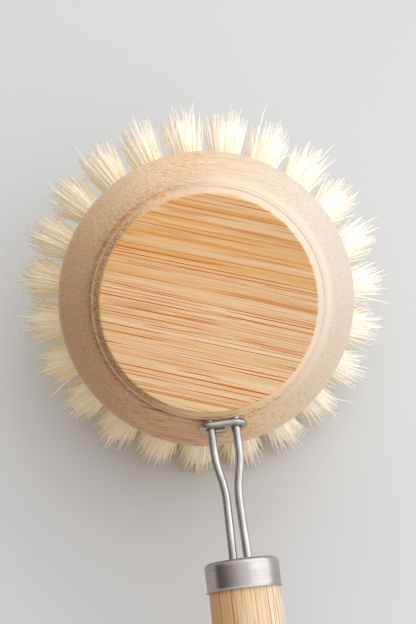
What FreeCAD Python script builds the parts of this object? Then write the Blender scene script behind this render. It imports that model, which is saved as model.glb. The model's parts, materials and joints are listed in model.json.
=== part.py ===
import FreeCAD, Part
import math
import os

import Sketcher

# A dish brush: a turned head with fibre tufts, held by a wire fork with a locking ring, on a turned handle.
# Lengths are in millimetres and angles in degrees.
SIZES = (
    # Turned head, upwards from its bristle face
    ("head_diameter", 60.0),
    ("foot_round", 2.6),
    ("shoulder_height", 6.6),
    ("shoulder_round", 4.5),
    ("flank_width", 6.1),
    ("flank_rise", 7.0),
    ("flank_round", 12.0),
    ("flank_knee_width_share", 0.41),
    ("flank_knee_rise_share", 0.47),
    ("cove_width", 0.7),
    ("cove_depth", 0.04),
    ("cove_round", 0.6),
    ("bead_width", 0.35),
    ("bead_height", 2.0),
    ("wall_inset", 1.35),
    ("step_height", 1.9),
    ("plateau_edge_round", 0.4),
    # Tuft holes, in rings that fan out from the middle
    ("tuft_edge_margin", 5.8),
    ("middle_ring_radius_share", 0.69),
    ("inner_ring_radius_share", 0.37),
    ("outer_tuft_count", 23),
    ("middle_tuft_count", 16),
    ("inner_tuft_count", 8),
    ("tuft_fan_angle", 28.0),
    ("hole_diameter", 4.2),
    ("hole_depth", 6.0),
    # Tufts and the flat wire anchors that hold their folds
    ("tuft_clearance", 0.05),
    ("tuft_neck", 0.3),
    ("tuft_length", 25.0),
    ("tuft_tip_diameter", 6.4),
    ("tuft_crown", 0.8),
    ("anchor_thickness", 0.45),
    ("anchor_height", 2.0),
    ("anchor_bite", 0.25),
    ("anchor_cover", 0.6),
    ("anchor_clearance", 0.03),
    # Wire fork and its sockets in the head
    ("handle_rise_angle", 15.5),
    ("wire_diameter", 1.7),
    ("fork_mouth_gap", 3.3),
    ("fork_neck_gap", 0.7),
    ("fork_root_gap", 1.2),
    ("fork_reach", 28.4),
    ("fork_neck_length", 13.9),
    ("fork_bend_length", 6.0),
    ("fork_bend_arc_share", 0.42),
    ("fork_eye_depth", 26.0),
    ("fork_eye_flat", 0.3),
    ("socket_drop", 1.4),
    ("socket_depth", 11.0),
    ("socket_clearance", 0.1),
    # Locking ring
    ("ring_wire_diameter", 1.35),
    ("ring_end_play", 0.12),
    ("ring_side_play", 0.3),
    ("ring_gap", 1.3),
    ("ring_gap_shift", 0.95),
    ("ring_lean_angle", 13.0),
    ("ring_seat", 1.75),
    ("ring_end_flat", 0.25),
    # Ferrule
    ("ferrule_diameter", 14.7),
    ("ferrule_height", 5.8),
    ("ferrule_wall", 0.3),
    ("ferrule_round", 1.1),
    ("ferrule_lip_height", 0.5),
    ("ferrule_lip_flare", 0.3),
    ("ferrule_fit", 0.02),
    ("ferrule_slot_clearance", 0.12),
    ("ferrule_slot_flat", 0.08),
    # Handle
    ("handle_length", 150.0),
    ("handle_swell_place", 78.0),
    ("handle_swell", 3.6),
    ("handle_swell_arc_share", 0.5),
    ("handle_taper", 4.2),
    ("handle_tail_flat", 0.6),
    ("bore_clearance", 0.1),
    ("hang_hole_diameter", 5.0),
    ("hang_hole_inset", 14.0),
    ("hang_hole_edge_round", 0.6),
    # Spare length that lets a cut run out of the wood
    ("cut_overrun", 3.0),
)

HALVINGS = 60

doc = FreeCAD.newDocument("dish_brush")
sheet = doc.addObject("Spreadsheet::Sheet", "Sizes")
for row, (alias, number) in enumerate(SIZES, start=1):
    sheet.set(f"A{row}", alias)
    sheet.set(f"B{row}", str(number))
    sheet.setAlias(f"B{row}", alias)
doc.recompute()

Vector = FreeCAD.Vector
Rotation = FreeCAD.Rotation
Placement = FreeCAD.Placement
X_DIRECTION = Vector(1, 0, 0)
Y_DIRECTION = Vector(0, 1, 0)
Z_DIRECTION = Vector(0, 0, 1)


# Sheet and sketch helpers

def size(text):
    """The number that an expression on the sheet gives."""
    value = sheet.evalExpression(text)
    return float(getattr(value, "Value", value))


def origin_feature(body, role):
    """One of a body's own origin planes."""
    return next(feature for feature in body.Origin.OriginFeatures if feature.Role == role)


def new_body(label):
    body = doc.addObject("PartDesign::Body", label)
    body.Label = label
    return body


def new_sketch(body, role, name, offset=None):
    """A sketch on an origin plane of the body, moved by an offset in its own axes."""
    sketch = body.newObject("Sketcher::SketchObject", name)
    sketch.AttachmentSupport = [(origin_feature(body, role), "")]
    sketch.MapMode = "FlatFace"
    if offset is not None:
        sketch.AttachmentOffset = offset
    return sketch


def pin_point(sketch, geometry, end, x, y):
    """Holds a point at two expressions, or on an axis where an expression is 0."""
    for kind, axis, text in (("DistanceX", -2, x), ("DistanceY", -1, y)):
        if text == "0":
            sketch.addConstraint(Sketcher.Constraint("PointOnObject", geometry, end, axis))
            continue
        index = sketch.addConstraint(Sketcher.Constraint(kind, -1, 1, geometry, end, size(text)))
        sketch.setExpression(f"Constraints[{index}]", text)


def corner_arc(before, corner, after, radius):
    """The arc that rounds a corner: its two tangent points, itself, and whether it turns left."""
    back = (before - corner).normalize()
    forth = (after - corner).normalize()
    half_angle = back.getAngle(forth) / 2
    enter = corner + back * (radius / math.tan(half_angle))
    leave = corner + forth * (radius / math.tan(half_angle))
    centre = corner + (back + forth).normalize() * (radius / math.sin(half_angle))
    turns_left = (corner - before).cross(after - corner).z > 0
    first, last = (enter, leave) if turns_left else (leave, enter)
    start = math.atan2(first.y - centre.y, first.x - centre.x)
    stop = math.atan2(last.y - centre.y, last.x - centre.x)
    arc = Part.ArcOfCircle(Part.Circle(centre, Z_DIRECTION, radius), start, stop)
    return enter, leave, arc, turns_left


def draw_outline(sketch, corners, closed=True):
    """Straight runs through corners (x, y, round), all expressions, on a guide polygon of construction lines."""
    points = [Vector(size(x), size(y), 0) for x, y, _ in corners]
    count = len(points)
    runs = count if closed else count - 1
    guides = []
    for i in range(runs):
        line = Part.LineSegment(points[i], points[(i + 1) % count])
        guides.append(sketch.addGeometry(line, True))
    for i in range(1, runs):
        sketch.addConstraint(Sketcher.Constraint("Coincident", guides[i - 1], 2, guides[i], 1))
    if closed:
        sketch.addConstraint(Sketcher.Constraint("Coincident", guides[-1], 2, guides[0], 1))
    for i, (x, y, _) in enumerate(corners):
        geometry, end = (guides[i], 1) if i < runs else (guides[i - 1], 2)
        pin_point(sketch, geometry, end, x, y)

    arcs = {}
    for i, (_, _, radius) in enumerate(corners):
        if radius:
            arcs[i] = corner_arc(points[i - 1], points[i], points[(i + 1) % count], size(radius))
    lines = []
    for i in range(runs):
        j = (i + 1) % count
        start = arcs[i][1] if i in arcs else points[i]
        stop = arcs[j][0] if j in arcs else points[j]
        lines.append(sketch.addGeometry(Part.LineSegment(start, stop), False))
        for corner, end in ((i, 1), (j, 2)):
            if corner in arcs:
                sketch.addConstraint(Sketcher.Constraint("PointOnObject", lines[i], end, guides[i]))
            else:
                sketch.addConstraint(Sketcher.Constraint("Coincident", lines[i], end, guides[i], end))
    for i, (_, _, arc, turns_left) in arcs.items():
        geometry = sketch.addGeometry(arc, False)
        enter, leave = (1, 2) if turns_left else (2, 1)
        sketch.addConstraint(Sketcher.Constraint("Tangent", lines[i - 1], 2, geometry, enter))
        sketch.addConstraint(Sketcher.Constraint("Tangent", geometry, leave, lines[i], 1))
        index = sketch.addConstraint(Sketcher.Constraint("Radius", geometry, size(corners[i][2])))
        sketch.setExpression(f"Constraints[{index}]", corners[i][2])


def draw_circle(sketch, x, y, radius):
    """A circle with its centre and radius given by expressions."""
    circle = Part.Circle(Vector(size(x), size(y), 0), Z_DIRECTION, size(radius))
    geometry = sketch.addGeometry(circle, False)
    pin_point(sketch, geometry, 3, x, y)
    index = sketch.addConstraint(Sketcher.Constraint("Radius", geometry, size(radius)))
    sketch.setExpression(f"Constraints[{index}]", radius)


def turn(body, sketch, axis, kind="Revolution"):
    """A full turn of a sketch about one of its axes, added to the body or cut from it."""
    feature = body.newObject(f"PartDesign::{kind}", f"{sketch.Name}_{kind.lower()}")
    feature.Profile = sketch
    feature.ReferenceAxis = (sketch, [axis])
    feature.Angle = 360
    return feature


def drill(body, name, offset, mouth, direction, depth, radius):
    """A round blind hole from a mouth point, cut along a direction in the body's XZ plane."""
    (mouth_x, mouth_z), (along_x, along_z) = mouth, direction
    outside = "Sizes.cut_overrun"
    ends = (
        (f"{mouth_x} - ({along_x}) * {outside}", f"{mouth_z} - ({along_z}) * {outside}"),
        (f"{mouth_x} + ({along_x}) * {depth}", f"{mouth_z} + ({along_z}) * {depth}"),
    )
    side_x, side_z = f"({along_z}) * {radius}", f"-({along_x}) * {radius}"
    corners = [(x, z, None) for x, z in ends]
    corners += [(f"{x} + {side_x}", f"{z} + {side_z}", None) for x, z in reversed(ends)]
    sketch = new_sketch(body, "XZ_Plane", name, offset)
    draw_outline(sketch, corners)
    return turn(body, sketch, "Axis0", "Groove")


def bend_wire(body, name, corners, start_role, start_offset, start_centre, diameter):
    """A round wire along an open outline in the body's XY plane."""
    path = new_sketch(body, "XY_Plane", f"{name}_path")
    draw_outline(path, corners, closed=False)
    section = new_sketch(body, start_role, f"{name}_section", Placement(Vector(0, 0, size(start_offset)), Rotation()))
    section.setExpression("AttachmentOffset.Base.z", start_offset)
    draw_circle(section, *start_centre, f"{diameter} / 2")
    wire = body.newObject("PartDesign::AdditivePipe", f"{name}_wire")
    wire.Profile = section
    wire.Spine = path
    return wire


# Derived sizes, as expressions on the sheet

HEAD_RADIUS = "(Sizes.head_diameter / 2)"
FLANK_TOP_RADIUS = f"({HEAD_RADIUS} - Sizes.flank_width)"
FLANK_TOP_Z = "(Sizes.shoulder_height + Sizes.flank_rise)"
BEAD_RADIUS = f"({FLANK_TOP_RADIUS} - Sizes.cove_width)"
WALL_FOOT_RADIUS = f"({BEAD_RADIUS} - Sizes.bead_width)"
STEP_Z = f"({FLANK_TOP_Z} + Sizes.bead_height)"
PLATEAU_RADIUS = f"({WALL_FOOT_RADIUS} - Sizes.wall_inset)"
PLATEAU_Z = f"({STEP_Z} + Sizes.step_height)"

OUTER_TUFT_RADIUS = f"({HEAD_RADIUS} - Sizes.tuft_edge_margin)"
HOLE_RADIUS = "(Sizes.hole_diameter / 2)"
TUFT_ROOT_RADIUS = f"({HOLE_RADIUS} - Sizes.tuft_clearance)"
TUFT_TIP_RADIUS = "(Sizes.tuft_tip_diameter / 2)"
TUFT_FLAT_RADIUS = f"({TUFT_TIP_RADIUS} / 2)"
TUFT_RIM_LENGTH = "(Sizes.tuft_length - Sizes.tuft_crown)"
TUFT_TOP = "(Sizes.hole_depth - Sizes.tuft_clearance)"
ANCHOR_FOOT = "(Sizes.hole_depth - Sizes.anchor_cover - Sizes.anchor_height)"
ANCHOR_WIDTH = "(Sizes.hole_diameter + 2 * Sizes.anchor_bite)"

WIRE_RADIUS = "(Sizes.wire_diameter / 2)"
MOUTH_HALF = "((Sizes.fork_mouth_gap + Sizes.wire_diameter) / 2)"
NECK_HALF = "((Sizes.fork_neck_gap + Sizes.wire_diameter) / 2)"
ROOT_HALF = "((Sizes.fork_root_gap + Sizes.wire_diameter) / 2)"
BEND_TURN = (f"(atan(({MOUTH_HALF} - {NECK_HALF}) / Sizes.fork_bend_length)"
             f" + atan(({ROOT_HALF} - {NECK_HALF}) / Sizes.fork_neck_length))")
BEND_ROUND = f"(Sizes.fork_bend_length * Sizes.fork_bend_arc_share / tan({BEND_TURN} / 2))"
EYE_HALF = f"({ROOT_HALF} + ({ROOT_HALF} - {NECK_HALF}) * Sizes.fork_eye_depth / Sizes.fork_neck_length)"
RISE_COS = "cos(Sizes.handle_rise_angle * 1 deg)"
RISE_SIN = "sin(Sizes.handle_rise_angle * 1 deg)"
SOCKET_Z = f"({STEP_Z} - Sizes.socket_drop)"
SOCKET_RADIUS = f"({WIRE_RADIUS} + Sizes.socket_clearance)"
TIP_REACH = "(Sizes.fork_reach + Sizes.socket_depth - Sizes.socket_clearance)"

RING_WIRE_RADIUS = "(Sizes.ring_wire_diameter / 2)"
RING_SHORT_HALF = f"({WIRE_RADIUS} + Sizes.ring_side_play + {RING_WIRE_RADIUS})"
RING_LONG_HALF = f"({MOUTH_HALF} + {WIRE_RADIUS} + Sizes.ring_end_play + {RING_WIRE_RADIUS})"

FERRULE_RADIUS = "(Sizes.ferrule_diameter / 2)"
FERRULE_INSIDE = f"({FERRULE_RADIUS} - Sizes.ferrule_wall)"
LIP_START = "(Sizes.ferrule_height - Sizes.ferrule_lip_height)"
HANDLE_START = "(Sizes.ferrule_wall + Sizes.ferrule_fit)"
HANDLE_NECK_RADIUS = f"({FERRULE_INSIDE} - Sizes.ferrule_fit)"
SWELL_RADIUS = f"({HANDLE_NECK_RADIUS} + Sizes.handle_swell / 2)"
TAIL_RADIUS = f"({SWELL_RADIUS} - Sizes.handle_taper / 2)"
TAIL_ROUND = f"({TAIL_RADIUS} - Sizes.handle_tail_flat)"
FRONT_RUN = "(Sizes.handle_swell_place - Sizes.ferrule_height)"
BACK_RUN = "(Sizes.handle_length - Sizes.handle_swell_place)"
SWELL_TURN = f"(atan(Sizes.handle_swell / 2 / {FRONT_RUN}) + atan(Sizes.handle_taper / 2 / {BACK_RUN}))"
SWELL_ROUND = f"(min({FRONT_RUN}; {BACK_RUN}) * Sizes.handle_swell_arc_share / tan({SWELL_TURN} / 2))"
BORE_RADIUS = f"({EYE_HALF} + {WIRE_RADIUS} + Sizes.bore_clearance)"
BORE_DEPTH = f"(Sizes.fork_eye_depth + {WIRE_RADIUS} + Sizes.bore_clearance)"


# Rings of tufts: each has a radius, a count, and a splay that grows with the radius

def tuft_rings():
    shares = {"outer": "1", "middle": "Sizes.middle_ring_radius_share", "inner": "Sizes.inner_ring_radius_share"}
    rings = []
    for name, share in shares.items():
        radius = f"({OUTER_TUFT_RADIUS} * {share})"
        count = f"Sizes.{name}_tuft_count"
        splay = f"(Sizes.tuft_fan_angle * {share})"
        tufts = int(size(count))
        # The outer ring straddles the handle's line, so that the brush rests on two tufts.
        first = 180 / tufts if name == "outer" else 0
        rings.append({"name": name, "radius": radius, "count": count, "splay": splay,
                      "azimuths": [first + 360 * k / tufts for k in range(tufts)]})
    rings.append({"name": "centre", "radius": "0", "count": "1", "splay": "0", "azimuths": [0]})
    return rings


RINGS = tuft_rings()


# How the brush lies on a flat floor: on two outer tufts and the handle's tail

def tip_reach(ring, azimuth, down):
    """How far a tuft's crowned tip reaches along a direction of the head's frame."""
    splay = size(ring["splay"])
    frame = Rotation(Z_DIRECTION, azimuth).multiply(Rotation(Y_DIRECTION, -splay))
    axis = frame.multVec(-Z_DIRECTION)
    mouth = Rotation(Z_DIRECTION, azimuth).multVec(X_DIRECTION * size(ring["radius"]))
    along = down.dot(axis)
    sideways = math.sqrt(max(0, 1 - along * along))
    tip_circles = ((TUFT_TIP_RADIUS, TUFT_RIM_LENGTH), (TUFT_FLAT_RADIUS, "Sizes.tuft_length"))
    return max((mouth + axis * size(length)).dot(down) + size(radius) * sideways
               for radius, length in tip_circles)


def head_reach(down):
    return max(tip_reach(ring, azimuth, down) for ring in RINGS for azimuth in ring["azimuths"])


def fork_origin():
    """The middle of the ferrule's top, in the head's frame."""
    along = Vector(size(RISE_COS), 0, size(RISE_SIN))
    return Vector(size(BEAD_RADIUS), 0, size(SOCKET_Z)) + along * size("Sizes.fork_reach")


def tail_reach(down):
    """How far the handle's rounded tail reaches along a direction of the head's frame."""
    along = Vector(size(RISE_COS), 0, size(RISE_SIN))
    slope = math.atan2(size("Sizes.handle_taper / 2"), size(BACK_RUN))
    rounding = size(TAIL_ROUND)
    off_axis = size(TAIL_RADIUS) + rounding * (math.sin(slope) - 1) / math.cos(slope)
    centre = fork_origin() + along * (size("Sizes.handle_length") - rounding)
    sideways = math.sqrt(max(0, 1 - down.dot(along) ** 2))
    return centre.dot(down) + off_axis * sideways + rounding


def leaning(angle):
    """A placement that leans the head towards the handle."""
    return Rotation(Y_DIRECTION, angle)


def lying_placement():
    """Leans the brush until tufts and tail touch the floor, and centres it over the origin."""
    low, high = 0.0, 90.0
    for _ in range(HALVINGS):
        middle = (low + high) / 2
        down = leaning(middle).inverted().multVec(-Z_DIRECTION)
        if head_reach(down) > tail_reach(down):
            low = middle
        else:
            high = middle
    lean = leaning(low)
    down = lean.inverted().multVec(-Z_DIRECTION)
    forward = lean.inverted().multVec(X_DIRECTION)
    middle_x = (tail_reach(forward) - head_reach(-forward)) / 2
    return Placement(Vector(-middle_x, 0, head_reach(down)), lean), low


HEAD_PLACE, LEAN_ANGLE = lying_placement()
FORK_PLACE = HEAD_PLACE.multiply(
    Placement(fork_origin(), Rotation(Y_DIRECTION, -size("Sizes.handle_rise_angle"))))


# Turned head with its tuft holes and wire sockets

def make_head_block():
    body = new_body("head_block")
    knee_x = f"{HEAD_RADIUS} - Sizes.flank_width * Sizes.flank_knee_width_share"
    knee_z = "Sizes.shoulder_height + Sizes.flank_rise * Sizes.flank_knee_rise_share"
    profile = new_sketch(body, "XZ_Plane", "head_profile")
    draw_outline(profile, [
        ("0", "0", None),
        (HEAD_RADIUS, "0", "Sizes.foot_round"),
        (HEAD_RADIUS, "Sizes.shoulder_height", "Sizes.shoulder_round"),
        (knee_x, knee_z, "Sizes.flank_round"),
        (FLANK_TOP_RADIUS, FLANK_TOP_Z, None),
        (f"{BEAD_RADIUS} + Sizes.cove_width / 2", f"{FLANK_TOP_Z} - Sizes.cove_depth", "Sizes.cove_round"),
        (BEAD_RADIUS, FLANK_TOP_Z, None),
        (BEAD_RADIUS, STEP_Z, None),
        (WALL_FOOT_RADIUS, STEP_Z, None),
        (PLATEAU_RADIUS, PLATEAU_Z, "Sizes.plateau_edge_round"),
        ("0", PLATEAU_Z, None),
    ])
    turn(body, profile, "V_Axis")
    for ring in RINGS:
        splay = f"{ring['splay']} * 1 deg"
        first = Placement(Vector(), Rotation(Y_DIRECTION, ring["azimuths"][0]))
        hole = drill(body, f"hole_{ring['name']}", first, (ring["radius"], "0"),
                     (f"-sin({splay})", f"cos({splay})"), "Sizes.hole_depth", HOLE_RADIUS)
        if len(ring["azimuths"]) > 1:
            holes = body.newObject("PartDesign::PolarPattern", f"holes_{ring['name']}")
            holes.Originals = [hole]
            holes.Axis = (profile, ["V_Axis"])
            holes.Angle = 360
            holes.setExpression("Occurrences", ring["count"])
            body.Tip = holes
    aside = Placement(Vector(0, 0, size(MOUTH_HALF)), Rotation())
    socket = drill(body, "socket", aside, (BEAD_RADIUS, SOCKET_Z), (f"-{RISE_COS}", f"-{RISE_SIN}"),
                   "Sizes.socket_depth", SOCKET_RADIUS)
    socket.Profile[0].setExpression("AttachmentOffset.Base.z", MOUTH_HALF)
    sockets = body.newObject("PartDesign::Mirrored", "sockets")
    sockets.Originals = [socket]
    sockets.MirrorPlane = (origin_feature(body, "XZ_Plane"), [""])
    body.Tip = sockets
    body.Placement = HEAD_PLACE
    return body


# Tufts and their anchors, one set for each ring of holes

def tuft_place(ring, azimuth):
    """The frame of one tuft: its origin at the hole's mouth, with its Z axis up the hole."""
    around = Placement(Vector(), Rotation(Z_DIRECTION, azimuth))
    tilted = Placement(Vector(size(ring["radius"]), 0, 0), Rotation(Y_DIRECTION, -size(ring["splay"])))
    return HEAD_PLACE.multiply(around).multiply(tilted)


def anchor_box(name, clearance):
    """A flat anchor plate that stands along the head's radius in a tuft's frame, with room round it."""
    box = doc.addObject("Part::Box", name)
    box.setExpression("Length", f"{ANCHOR_WIDTH} + 2 * {clearance}")
    box.setExpression("Width", f"Sizes.anchor_thickness + 2 * {clearance}")
    box.setExpression("Height", f"Sizes.anchor_height + 2 * {clearance}")
    corner = Vector(size(ANCHOR_WIDTH), size("Sizes.anchor_thickness"), 0) / -2
    corner += Vector(0, 0, size(ANCHOR_FOOT))
    room = size(clearance)
    box.Placement = Placement(corner - Vector(room, room, room), Rotation())
    return box


def tuft_form(ring):
    """The shape of a ring's tufts: a straight root, a flared bundle and a crowned tip, slotted for the anchor."""
    neck = f"-({HOLE_RADIUS} * tan({ring['splay']} * 1 deg) + Sizes.tuft_neck)"
    profile = doc.addObject("Sketcher::SketchObject", f"tuft_profile_{ring['name']}")
    profile.Placement = Placement(Vector(), Rotation(X_DIRECTION, 90))
    draw_outline(profile, [
        ("0", TUFT_TOP, None),
        (TUFT_ROOT_RADIUS, TUFT_TOP, None),
        (TUFT_ROOT_RADIUS, neck, None),
        (TUFT_TIP_RADIUS, f"-{TUFT_RIM_LENGTH}", None),
        (TUFT_FLAT_RADIUS, "-Sizes.tuft_length", None),
        ("0", "-Sizes.tuft_length", None),
    ])
    bundle = doc.addObject("Part::Revolution", f"tuft_bundle_{ring['name']}")
    bundle.Source = profile
    bundle.Axis = Z_DIRECTION
    bundle.Angle = 360
    bundle.Solid = True
    slot = anchor_box(f"tuft_slot_{ring['name']}", "Sizes.anchor_clearance")
    return bundle, slot


def make_tufts(ring):
    bundle, slot = tuft_form(ring)
    tufts = []
    for k, azimuth in enumerate(ring["azimuths"], start=1):
        many = len(ring["azimuths"]) > 1
        label = f"tuft_{ring['name']}_{k:02d}" if many else f"tuft_{ring['name']}"
        tuft = doc.addObject("Part::Cut", label)
        tuft.Label = label
        tuft.Base = bundle
        tuft.Tool = slot
        tuft.Placement = tuft_place(ring, azimuth)
        tufts.append(tuft)
    return tufts


def make_anchors(ring):
    plates = []
    for k, azimuth in enumerate(ring["azimuths"], start=1):
        plate = anchor_box(f"anchor_{ring['name']}_{k:02d}", "0")
        plate.Placement = tuft_place(ring, azimuth).multiply(plate.Placement)
        plates.append(plate)
    many = len(plates) > 1
    label = f"anchors_{ring['name']}" if many else f"anchor_{ring['name']}"
    group = doc.addObject("Part::Compound", label)
    group.Label = label
    group.Links = plates
    return group


# Wire fork: one wire, bent back on itself inside the handle

def make_wire_fork():
    body = new_body("wire_fork")
    leg = [
        (f"-{TIP_REACH}", MOUTH_HALF, None),
        ("-(Sizes.fork_neck_length + Sizes.fork_bend_length)", MOUTH_HALF, BEND_ROUND),
        ("-Sizes.fork_neck_length", NECK_HALF, BEND_ROUND),
        ("Sizes.fork_eye_depth", EYE_HALF, f"{EYE_HALF} - Sizes.fork_eye_flat / 2"),
    ]
    other_leg = [(x, f"-{y}", radius) for x, y, radius in reversed(leg)]
    bend_wire(body, "fork", leg + other_leg, "YZ_Plane", f"-{TIP_REACH}", (MOUTH_HALF, "0"), "Sizes.wire_diameter")
    body.Placement = FORK_PLACE
    return body


# Locking ring: an oval of thinner wire, with a gap between its ends on the under side, beside one leg

def make_lock_ring():
    body = new_body("lock_ring")
    rounding = f"{RING_SHORT_HALF} - Sizes.ring_end_flat / 2"
    start = "(Sizes.ring_gap_shift + Sizes.ring_gap / 2)"
    end = "(Sizes.ring_gap_shift - Sizes.ring_gap / 2)"
    course = [
        (RING_SHORT_HALF, start, None),
        (RING_SHORT_HALF, RING_LONG_HALF, rounding),
        (f"-{RING_SHORT_HALF}", RING_LONG_HALF, rounding),
        (f"-{RING_SHORT_HALF}", f"-{RING_LONG_HALF}", rounding),
        (RING_SHORT_HALF, f"-{RING_LONG_HALF}", rounding),
        (RING_SHORT_HALF, end, None),
    ]
    bend_wire(body, "ring", course, "XZ_Plane", f"-{start}", (RING_SHORT_HALF, "0"), "Sizes.ring_wire_diameter")
    leaned = Rotation(Y_DIRECTION, 90 - size("Sizes.ring_lean_angle"))
    on_legs = Placement(Vector(size("Sizes.ring_seat - Sizes.fork_reach"), 0, 0), leaned)
    body.Placement = FORK_PLACE.multiply(on_legs)
    return body


# Ferrule: a thin cup pressed over the handle's end, slotted for the two legs

def make_ferrule():
    body = new_body("ferrule")
    lip_radius = f"({FERRULE_RADIUS} + Sizes.ferrule_lip_flare)"
    cup = new_sketch(body, "XY_Plane", "ferrule_profile")
    draw_outline(cup, [
        ("0", "0", None),
        ("0", FERRULE_RADIUS, "Sizes.ferrule_round"),
        (LIP_START, FERRULE_RADIUS, None),
        ("Sizes.ferrule_height", lip_radius, None),
        ("Sizes.ferrule_height", f"{lip_radius} - Sizes.ferrule_wall", None),
        (LIP_START, FERRULE_INSIDE, None),
        ("Sizes.ferrule_wall", FERRULE_INSIDE, "Sizes.ferrule_round - Sizes.ferrule_wall"),
        ("Sizes.ferrule_wall", "0", None),
    ])
    turn(body, cup, "H_Axis")
    half_width = f"({WIRE_RADIUS} + Sizes.ferrule_slot_clearance)"
    half_length = f"({ROOT_HALF} + {half_width})"
    corner = f"{half_width} - Sizes.ferrule_slot_flat / 2"
    mouth = new_sketch(body, "YZ_Plane", "ferrule_slot")
    draw_outline(mouth, [
        (half_length, half_width, corner),
        (f"-{half_length}", half_width, corner),
        (f"-{half_length}", f"-{half_width}", corner),
        (half_length, f"-{half_width}", corner),
    ])
    slot = body.newObject("PartDesign::Pocket", "ferrule_slot_cut")
    slot.Profile = mouth
    slot.Reversed = True
    slot.setExpression("Length", "Sizes.ferrule_height")
    body.Placement = FORK_PLACE
    return body


# Handle: turned, swelling towards the middle, with the wire's bore and a hole to hang it by

def make_handle():
    body = new_body("handle")
    turned = new_sketch(body, "XY_Plane", "handle_profile")
    draw_outline(turned, [
        (HANDLE_START, "0", None),
        (HANDLE_START, HANDLE_NECK_RADIUS, "Sizes.ferrule_round"),
        ("Sizes.ferrule_height", HANDLE_NECK_RADIUS, None),
        ("Sizes.handle_swell_place", SWELL_RADIUS, SWELL_ROUND),
        ("Sizes.handle_length", TAIL_RADIUS, TAIL_ROUND),
        ("Sizes.handle_length", "0", None),
    ])
    turn(body, turned, "H_Axis")
    bore_mouth = new_sketch(body, "YZ_Plane", "wire_bore")
    draw_circle(bore_mouth, "0", "0", BORE_RADIUS)
    bore = body.newObject("PartDesign::Pocket", "wire_bore_cut")
    bore.Profile = bore_mouth
    bore.Reversed = True
    bore.setExpression("Length", BORE_DEPTH)
    hang_mouth = new_sketch(body, "XY_Plane", "hang_hole")
    draw_circle(hang_mouth, "Sizes.handle_length - Sizes.hang_hole_inset", "0", "Sizes.hang_hole_diameter / 2")
    hang = body.newObject("PartDesign::Pocket", "hang_hole_cut")
    hang.Profile = hang_mouth
    hang.SideType = "Symmetric"
    hang.setExpression("Length", f"2 * ({SWELL_RADIUS} + Sizes.cut_overrun)")
    doc.recompute()
    rims = hole_rims(hang)
    edge = body.newObject("PartDesign::Fillet", "hang_hole_edge")
    edge.Base = (hang, rims)
    edge.setExpression("Radius", "Sizes.hang_hole_edge_round")
    body.Placement = FORK_PLACE
    return body


def hole_rims(hang):
    """The two rims where the hanging hole comes out of the handle."""
    middle = Vector(size("Sizes.handle_length - Sizes.hang_hole_inset"), 0, 0)
    reach = size("Sizes.hang_hole_diameter")
    names = []
    for i, edge in enumerate(hang.Shape.Edges, start=1):
        off = [vertex.Point - middle for vertex in edge.Vertexes]
        near = all(math.hypot(point.x, point.y) < reach for point in off)
        one_side = all(point.z > 0 for point in off) or all(point.z < 0 for point in off)
        straight = edge.Curve.TypeId == "Part::GeomLine"
        if near and one_side and not straight:
            names.append(f"Edge{i}")
    return names


# The whole brush

pieces = [make_head_block(), make_wire_fork(), make_lock_ring(), make_ferrule(), make_handle()]
for ring in RINGS:
    pieces += make_tufts(ring)
    pieces.append(make_anchors(ring))
doc.recompute()

for item in doc.Objects:
    if "Invalid" in item.State or "Error" in item.State:
        raise RuntimeError(f"{item.Name} failed: {item.State}")
for piece in pieces:
    if piece.Shape.isNull() or not piece.Shape.isValid():
        raise RuntimeError(f"{piece.Label} has no valid shape")

os.makedirs("parts", exist_ok=True)
for piece in pieces:
    piece.Shape.exportStep(f"parts/{piece.Label}.step")

axis = FORK_PLACE.Rotation.multVec(X_DIRECTION)
normal = HEAD_PLACE.Rotation.multVec(Z_DIRECTION)
print("pieces", len(pieces), "lean", round(LEAN_ANGLE, 4))
print("fork axis", axis, "head normal", normal)
print("ferrule top", FORK_PLACE.Base, "head centre", HEAD_PLACE.Base)
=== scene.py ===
# %% [markdown]
# # A dish brush: turned bamboo, plant fibre and steel wire
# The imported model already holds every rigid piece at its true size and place. This script adds what the
# eye reads on the real brush: grain in the wood, a satin brush on the metal, and bundles of loose fibre
# in place of the plain solids that stand for the tufts.

import json
import math

import bpy
import numpy as np
from mathutils import Matrix, Vector


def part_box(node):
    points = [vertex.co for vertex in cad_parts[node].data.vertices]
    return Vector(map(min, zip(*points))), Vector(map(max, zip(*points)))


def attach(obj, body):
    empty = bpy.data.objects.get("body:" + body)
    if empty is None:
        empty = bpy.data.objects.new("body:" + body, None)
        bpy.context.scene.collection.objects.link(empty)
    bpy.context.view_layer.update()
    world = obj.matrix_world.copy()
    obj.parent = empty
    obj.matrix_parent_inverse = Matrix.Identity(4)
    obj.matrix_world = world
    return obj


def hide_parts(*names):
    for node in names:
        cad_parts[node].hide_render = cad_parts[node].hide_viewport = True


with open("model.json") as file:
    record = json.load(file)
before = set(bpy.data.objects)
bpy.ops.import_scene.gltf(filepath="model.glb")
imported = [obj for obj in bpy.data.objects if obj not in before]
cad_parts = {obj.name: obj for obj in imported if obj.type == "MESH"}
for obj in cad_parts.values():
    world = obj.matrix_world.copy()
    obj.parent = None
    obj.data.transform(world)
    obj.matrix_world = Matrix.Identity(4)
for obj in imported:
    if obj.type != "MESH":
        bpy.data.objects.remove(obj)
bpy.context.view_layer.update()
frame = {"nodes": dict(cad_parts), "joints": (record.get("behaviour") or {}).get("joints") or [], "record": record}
MM = 0.001

# %% [markdown]
# ## The head's own axes
# The brush lies on its tufts and on the tail of its handle, so its head leans. Grain, tear-out and the
# camera are all easier to place in the head's own axes: the middle of the bristle face, X towards the
# handle, Z out of the flat top. The record gives these through the flat top's mount and the line that
# the locking ring slides on, so nothing has to be measured twice.

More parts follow.
